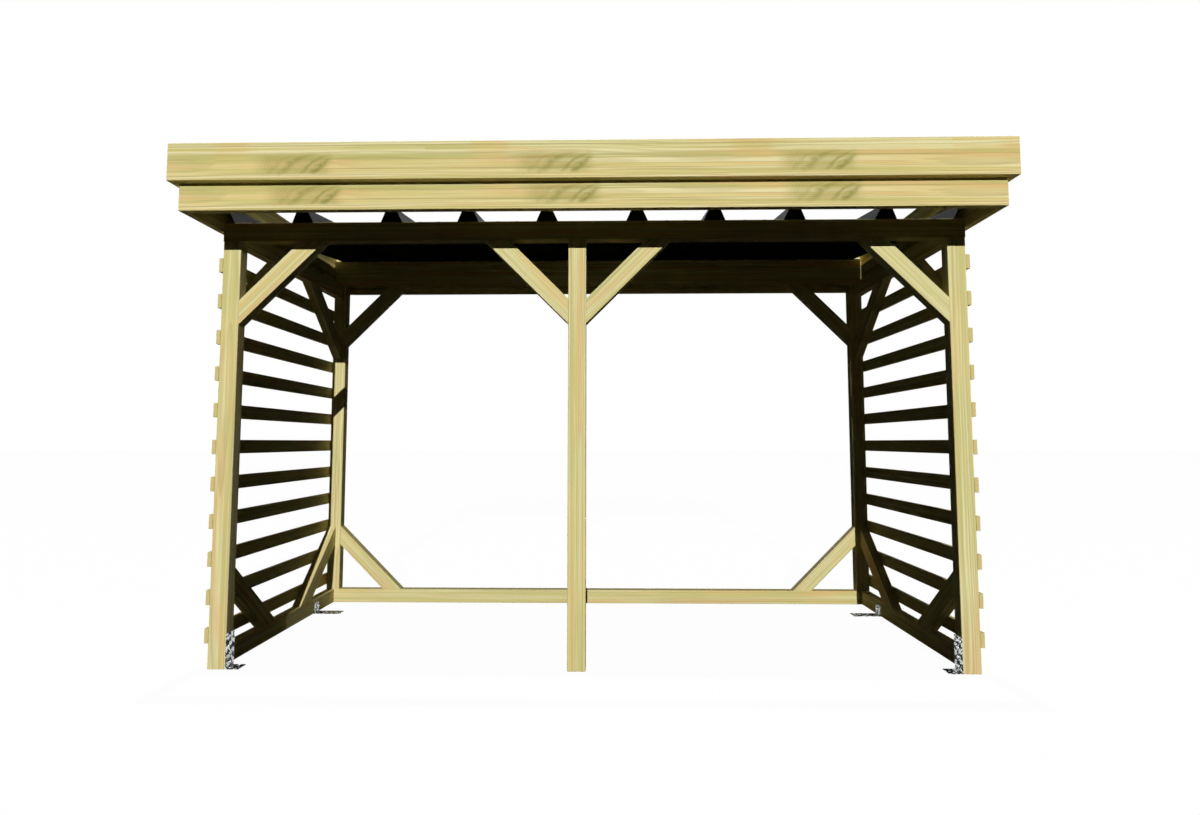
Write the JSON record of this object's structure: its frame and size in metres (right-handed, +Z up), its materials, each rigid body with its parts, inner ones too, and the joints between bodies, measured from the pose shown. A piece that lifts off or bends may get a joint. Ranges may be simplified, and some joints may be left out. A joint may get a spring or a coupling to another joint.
{
  "type": "log store",
  "caption": "Open-fronted timber log store with slatted sides, braced posts, a stepped board fascia and a ribbed metal roof hidden behind it.",
  "frame": {"origin": "on the ground, at the middle of the overall footprint", "axes": "+X from left to right as seen from the open front, +Y from front to back, +Z up"},
  "size_m": [3.112, 1.284, 1.99],
  "materials": {
    "frame_wood": "planed, pressure-treated pine",
    "slat_wood": "planed, pressure-treated pine",
    "fascia_wood": "planed, pressure-treated pine boards",
    "roof_metal": "dark coated profiled sheet",
    "zinc": "bright galvanised, perforated"
  },
  "bodies": {
    "root": {"post_front_left": "frame_wood", "post_front_mid": "frame_wood", "post_front_right": "frame_wood", "post_rear_left": "frame_wood", "post_rear_right": "frame_wood", "beam_front": "frame_wood", "beam_rear": "frame_wood", "rail_rear": "frame_wood", "rail_foot_left": "frame_wood", "rail_foot_right": "frame_wood", "rail_top_left": "frame_wood", "rail_top_right": "frame_wood", "braces_front": "frame_wood", "braces_rear_top": "frame_wood", "braces_rear_foot": "frame_wood", "braces_side_left": "frame_wood", "braces_side_right": "frame_wood", "slats_left": "slat_wood", "slats_right": "slat_wood", "fascia_lower_front": "fascia_wood", "fascia_lower_rear": "fascia_wood", "fascia_lower_left": "fascia_wood", "fascia_lower_right": "fascia_wood", "fascia_upper_front": "fascia_wood", "fascia_upper_rear": "fascia_wood", "fascia_upper_left": "fascia_wood", "fascia_upper_right": "fascia_wood", "roof_sheet_end_left": "roof_metal", "roof_sheet_left": "roof_metal", "roof_sheet_right": "roof_metal", "roof_sheet_end_right": "roof_metal", "bracket_front_left": "zinc", "bracket_front_right": "zinc", "bracket_rear_left": "zinc", "bracket_rear_right": "zinc"}
  },
  "joints": []
}
